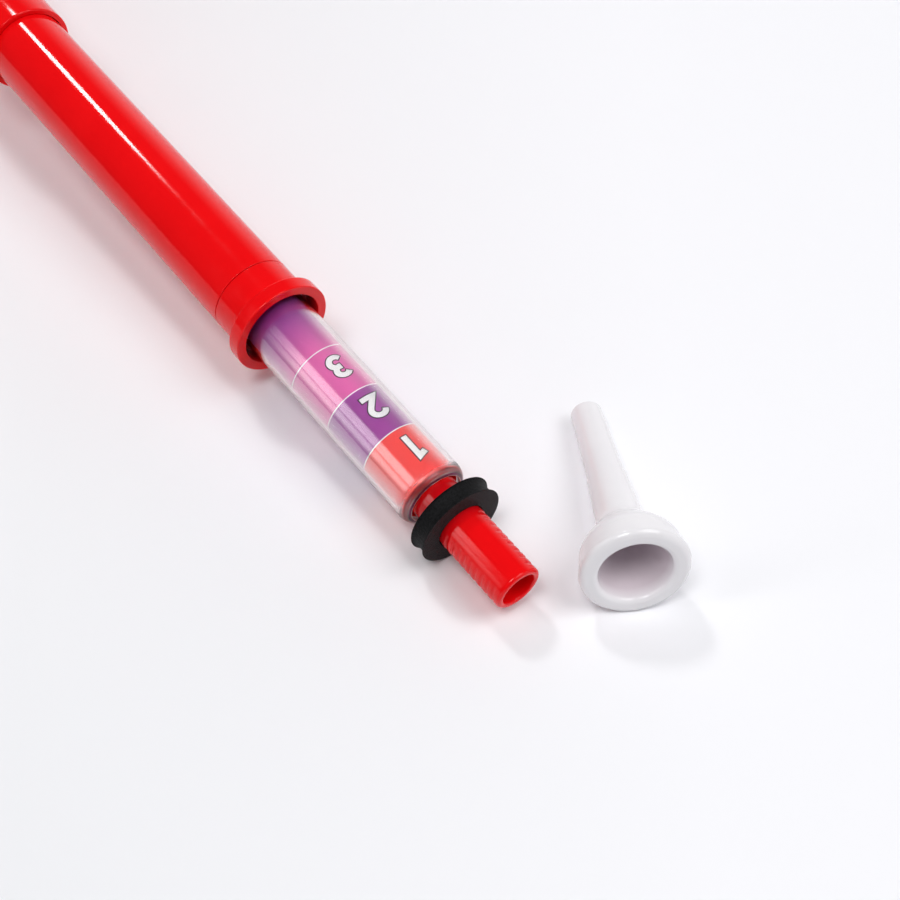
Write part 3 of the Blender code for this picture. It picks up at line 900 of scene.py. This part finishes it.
def ribbon(mesh, path, half):
    """Adds a flat stroke of a path as a closed slab, with mitred corners and square ends."""
    points = [Vector(point) for point in path]
    points[0] += (points[0] - points[1]).normalized() * (half - DIGIT_STROKE / 2)
    points[-1] += (points[-1] - points[-2]).normalized() * (half - DIGIT_STROKE / 2)
    rails = []
    for index, point in enumerate(points):
        before = (point - points[index - 1]).normalized() if index else None
        after = (points[index + 1] - point).normalized() if index + 1 < len(points) else None
        before = before or after
        after = after or before
        mean = (before + after).normalized()
        side = Vector((-mean.y, mean.x)) * (half / max(mean.dot(after), MITRE_LIMIT))
        rails.append((point + side, point - side))
    layers = []
    for height in (0.0, 1.0):
        layer = []
        for rail in rails:
            layer.append([mesh.verts.new((corner.x, corner.y, height)) for corner in rail])
        layers.append(layer)
    low, high = layers
    for index in range(len(rails) - 1):
        for layer in layers:
            here, following = layer[index:index + 2]
            mesh.faces.new((here[0], here[1], following[1], following[0]))
        for edge in (0, 1):
            lower = (low[index][edge], low[index + 1][edge])
            upper = (high[index + 1][edge], high[index][edge])
            mesh.faces.new((*lower, *upper))
    for index in (0, -1):
        mesh.faces.new((low[index][0], low[index][1], high[index][1], high[index][0]))
    bmesh.ops.recalc_face_normals(mesh, faces=mesh.faces)


def joined(slabs):
    """One closed slab from the slabs of a number's strokes."""
    objects = []
    for slab in slabs:
        data = bpy.data.meshes.new("stroke")
        slab.to_mesh(data)
        slab.free()
        objects.append(add_object("stroke", data))
    for other in objects[1:]:
        union = objects[0].modifiers.new("join", "BOOLEAN")
        union.operation = "UNION"
        union.object = other
    shown = objects[0].evaluated_get(bpy.context.evaluated_depsgraph_get())
    whole = bmesh.new()
    whole.from_mesh(shown.to_mesh())
    shown.to_mesh_clear()
    for item in objects:
        bpy.data.objects.remove(item, do_unlink=True)
    return whole


def bend(slab, station, turn, low, high):
    """Wraps a flat slab in millimetres round the film, upright towards the receiver."""
    edge = -DIGIT_REACH
    while edge < DIGIT_REACH:
        geometry = slab.verts[:] + slab.edges[:] + slab.faces[:]
        bmesh.ops.bisect_plane(slab, geom=geometry, plane_co=(edge, 0.0, 0.0), plane_no=(1.0, 0.0, 0.0))
        edge += DIGIT_SLICE
    for vert in slab.verts:
        angle = math.radians(turn) + vert.co.x * MM / FILM_RADIUS
        radius = low + (high - low) * vert.co.z
        along = station + (vert.co.y - DIGIT_MIDDLE) * MM
        vert.co = (radius * math.cos(angle), radius * math.sin(angle), along)


def make_digits(name, half, low, material):
    """The numbers of one ink, as slabs wrapped round the film."""
    mesh = bmesh.new()
    for digit, station, turn in DIGITS:
        slabs = []
        for path in digit_strokes(digit):
            slab = bmesh.new()
            ribbon(slab, [(x * DIGIT_SIZE, y * DIGIT_SIZE) for x, y in path], half)
            slabs.append(slab)
        whole = joined(slabs)
        bend(whole, station, turn, low, low + INK_THICKNESS)
        data = bpy.data.meshes.new("digit")
        whole.to_mesh(data)
        whole.free()
        mesh.from_mesh(data)
        bpy.data.meshes.remove(data)
    finished(name, mesh, HORN, "slide", material)


def grip_shape(radius, station, angle):
    """Cuts the finger grooves into the flanks; each has an oval floor, so it runs out at both ends."""
    floor = RECEIVER_RADIUS - GRIP_DEPTH
    if radius < floor or station < NECK_END:
        return radius, station
    across = angle - GRIP_TURN
    oval = 1 / math.hypot(math.cos(across) / GRIP_HEIGHT, math.sin(across) / floor)
    index = round((station - GRIP_FIRST) / GRIP_PITCH)
    if oval >= radius or not 0 <= index < GRIP_GROOVES:
        return radius, station
    off = abs(station - GRIP_FIRST - index * GRIP_PITCH) / (GRIP_GROOVE_WIDTH / 2)
    share = 0.5 + 0.5 * math.cos(math.pi * min(off, 1.0) ** GRIP_FLOOR_POWER)
    return radius - (radius - oval) * share, station


def make_receiver(material):
    """Neck and grip that take the mouthpiece, with a rounded tip and finger grooves on both flanks."""
    tip = arc((RECEIVER_RADIUS - TIP_ROUND, RECEIVER_TIP - TIP_ROUND), TIP_ROUND, 90, 0, TIP_STEPS)
    grip = []
    rows = GRIP_GROOVES * GRIP_ROWS
    front = GRIP_FIRST + (GRIP_GROOVES - 0.5) * GRIP_PITCH
    for row in range(rows + 1):
        grip.append((RECEIVER_RADIUS, front - row * GRIP_PITCH / GRIP_ROWS))
    neck = [
        (NECK_RADIUS, NECK_END),
        (NECK_RADIUS, CENTRING_BACK),
        (CENTRING_RADIUS, CENTRING_BACK),
        (CENTRING_RADIUS, RECEIVER_REAR),
        (TUBE_SOCKET_RADIUS, RECEIVER_REAR),
        (TUBE_SOCKET_RADIUS, TUBE_STOP),
        (AIR_BORE, TUBE_STOP),
        (AIR_BORE, NECK_END),
    ]
    mouth_centre = (SOCKET_MOUTH + TIP_INNER_ROUND, RECEIVER_TIP - TIP_INNER_ROUND)
    outline = tip + grip + neck + arc(mouth_centre, TIP_INNER_ROUND, 180, 90, TIP_INNER_STEPS)
    turned_piece(
        "grip_receiver", outline, HORN, "slide", material,
        ("mouthpiece_receiver",), grip_shape,
    )


# Foam ring

def make_foam_ring(material):
    """Die-cut foam washer: its edge is drawn in between two lips, and it is a little uneven."""
    middle = (RING_FRONT + RING_BACK) / 2
    half = (RING_FRONT - RING_BACK) / 2 - RING_LIP
    flat = RING_RADIUS - RING_LIP
    edge = arc((flat, RING_FRONT - RING_LIP), RING_LIP, 90, 0, RING_LIP_STEPS)
    for step in range(1, RING_WAIST_STEPS):
        angle = math.pi * step / RING_WAIST_STEPS
        edge.append((RING_RADIUS - RING_WAIST * math.sin(angle), middle + half * math.cos(angle)))
    edge += arc((flat, RING_BACK + RING_LIP), RING_LIP, 0, -90, RING_LIP_STEPS)
    back = []
    front = []
    for step in range(RING_FACE_STEPS + 1):
        radius = flat + (RING_HOLE - flat) * step / RING_FACE_STEPS
        back.append((radius, RING_BACK))
        front.append((radius, RING_FRONT))
    outline = edge + back[1:] + front[:0:-1]

    def uneven(radius, station, angle):
        """Moves the edge and the faces a little, here and there, away from the hole."""
        if radius < RING_HOLE + RING_EVEN_MARGIN:
            return radius, station
        spot = Vector((math.cos(angle), math.sin(angle), 0.0)) * radius
        wave = noise.noise(spot * RING_WAVES) * RING_WAVE_DEPTH
        spot.z = station
        sink = noise.noise(spot * RING_DIMPLES) * RING_DIMPLE_DEPTH
        return radius - abs(wave), station + (sink if station < middle else -abs(sink))

    piece = turned_piece(
        "foam_washer", outline, HORN, "bumper", material, ("foam_ring",), uneven
    )


# Mouthpiece

def make_mouthpiece(material):
    """Cup mouthpiece: round rim, funnel cup, throat, and a tapered shank with a small step."""
    crown = arc((RIM_RADIUS - RIM_ROUND, -RIM_ROUND), RIM_ROUND, 90, 0, RIM_STEPS)
    shoulder = []
    for step in range(CUP_STEPS + 1):
        share = step / CUP_STEPS
        ease = (1 + math.cos(math.pi * share)) / 2
        radius = SHANK_FRONT_RADIUS + (CUP_SIDE_RADIUS - SHANK_FRONT_RADIUS) * ease
        shoulder.append((radius, -CUP_SIDE - (SHANK_FRONT - CUP_SIDE) * share))
    tip_centre = (SHANK_TIP_RADIUS - SMALL_EDGE, -MOUTHPIECE_LENGTH + SMALL_EDGE)
    shank = [
        (SHANK_STEP_RADIUS, -SHANK_STEP),
        (SHANK_STEP_RADIUS - SHANK_STEP_HEIGHT, -SHANK_STEP - SMALL_EDGE),
    ] + arc(tip_centre, SMALL_EDGE, 0, -90, SMALL_EDGE_STEPS)
    bore = [
        (BACKBORE_RADIUS, -MOUTHPIECE_LENGTH),
        (THROAT_RADIUS, -CUP_DEPTH - THROAT_LENGTH),
        (THROAT_RADIUS, -CUP_DEPTH),
    ]
    cup = []
    for step in range(1, CUP_STEPS):
        share = step / CUP_STEPS
        depth = CUP_DEPTH - (CUP_DEPTH - RIM_INNER_ROUND) * share
        radius = THROAT_RADIUS + (CUP_RADIUS - THROAT_RADIUS) * share ** CUP_BOW
        cup.append((radius, -depth))
    bite_centre = (CUP_RADIUS + RIM_INNER_ROUND, -RIM_INNER_ROUND)
    bite = arc(bite_centre, RIM_INNER_ROUND, 180, 90, RIM_INNER_STEPS)
    outline = crown + shoulder + shank + bore + cup + bite
    turned_piece(
        "cup_mouthpiece", outline, MOUTHPIECE, "loose_mouthpiece", material,
        ("mouthpiece",),
    )


# Studio

def make_camera():
    """Camera at the photograph's place and angle."""
    forward = direction(CAMERA_YAW, CAMERA_PITCH)
    up = CAMERA_RIGHT.cross(forward)
    roll = math.radians(CAMERA_ROLL)
    across = CAMERA_RIGHT * math.cos(roll) + up * math.sin(roll)
    upward = up * math.cos(roll) - CAMERA_RIGHT * math.sin(roll)
    data = bpy.data.cameras.new("camera")
    data.lens = CAMERA_LENS
    data.sensor_width = CAMERA_SENSOR
    data.clip_start, data.clip_end = CAMERA_CLIP
    camera = add_object("camera", data)
    turn = Matrix((across, upward, -forward)).transposed().to_4x4()
    camera.matrix_world = Matrix.Translation(CAMERA_SPOT) @ turn
    bpy.context.scene.camera = camera


def make_floor():
    """A wide table top."""
    mesh = bmesh.new()
    corners = []
    for x, y in ((-1, -1), (1, -1), (1, 1), (-1, 1)):
        corners.append(mesh.verts.new((x * FLOOR_HALF, y * FLOOR_HALF, 0.0)))
    mesh.faces.new(corners)
    data = bpy.data.meshes.new("floor")
    mesh.to_mesh(data)
    mesh.free()
    data.materials.append(studio_floor())
    floor = add_object("floor", data)


def make_suns():
    """Soft lamps in front and overhead, and a crisp one behind, that shine at the slide."""
    for name, azimuth, elevation, strength, spread in SUNS:
        sun = bpy.data.lights.new(name, "SUN")
        sun.energy = strength
        sun.angle = math.radians(spread)
        lamp = add_object(name, sun)
        toward = direction(azimuth, elevation)
        turn = toward.to_track_quat("Z", "Y").to_matrix().to_4x4()
        lamp.matrix_world = Matrix.Translation(AIM + toward * SUN_DISTANCE) @ turn


def panel_glow(tree, place):
    """The split panel's glow by direction: a tall soft-edged light that lies along the horn."""
    axes = HORN.to_3x3().transposed()
    up, side, forward = (reach_along(tree, place, axis) for axis in axes)
    roll = calculated(tree, "ARCTAN2", side, up)
    lean = calculated(tree, "ARCSINE", forward)
    ends = [-math.radians(PANELS[0][0][index]) for index in (0, -1)]
    fall = map_range(tree, lean, *ends, *PANEL_FALL)
    glow = 0.0
    for leans, rolls, strength in PANELS:
        backward = [-math.radians(limit) for limit in reversed(leans)]
        outward = [math.radians(limit) for limit in rolls]
        half = product(tree, soft_window(tree, lean, backward), soft_window(tree, roll, outward))
        glow = calculated(tree, "MULTIPLY_ADD", product(tree, half, fall), strength, glow)
    return glow


def make_world():
    """A dim room with a pale wall low down on the far side, and a split panel at the camera's left."""
    world = bpy.data.worlds.new("room")
    bpy.context.scene.world = world
    world.use_nodes = True
    tree = world.node_tree
    place = shader_node(tree, "ShaderNodeTexCoord").outputs["Generated"]
    parts = shader_node(tree, "ShaderNodeSeparateXYZ", {"Vector": place}).outputs
    top, end = WALL_HEIGHTS
    wall = ramp(tree, parts["Z"], ((0.0, WALL), (top, WALL_TOP), (end, ROOM), (1.0, ROOM)))
    room = mixed(tree, map_range(tree, parts["Y"], *WALL_SIDES), ROOM, wall)
    lit = mixed(tree, 1.0, room, panel_glow(tree, place), "ADD")
    tree.links.new(lit, tree.nodes["Background"].inputs["Color"])


def dress_hidden_nodes(red):
    """Materials for the inner pieces that keep their CAD shape."""
    grey = dull_plastic("grey_acetal", GREY, GREY_DEEP, GREY_ROUGHNESS)
    rubber = dull_plastic("ring_rubber", RUBBER, RUBBER_DEEP, RUBBER_ROUGHNESS)
    for name, material in (
        ("guide_bush", grey),
        ("slide_piston", grey),
        ("front_seal_ring", rubber),
        ("rear_seal_ring", rubber),
        ("air_tube", red),
    ):
        node = frame["nodes"][name]
        for slot in node.material_slots:
            slot.material = material


def main():
    """Sets up the studio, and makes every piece."""
    bpy.context.scene.view_settings.view_transform = "Standard"
    bpy.context.scene.cycles.blur_glossy = 0.0
    make_camera()
    make_floor()
    make_suns()
    make_world()

    red = red_plastic()
    ink_white = ink("ink_white", INK_WHITE)
    make_bell(red)
    make_outer_tube(red)
    make_collar(red)
    make_slide_tube(clear_plastic())
    make_film(printed_film())
    make_lines(ink_white)
    half = DIGIT_STROKE / 2
    border_low = FILM_RADIUS + INK_LIFT
    face_low = border_low + INK_THICKNESS + INK_LIFT
    make_digits("number_borders", half + DIGIT_BORDER, border_low, ink("ink_grey", INK_GREY))
    make_digits("number_faces", half, face_low, ink_white)
    make_receiver(red)
    make_foam_ring(black_foam())
    make_mouthpiece(white_plastic())
    dress_hidden_nodes(red)


main()
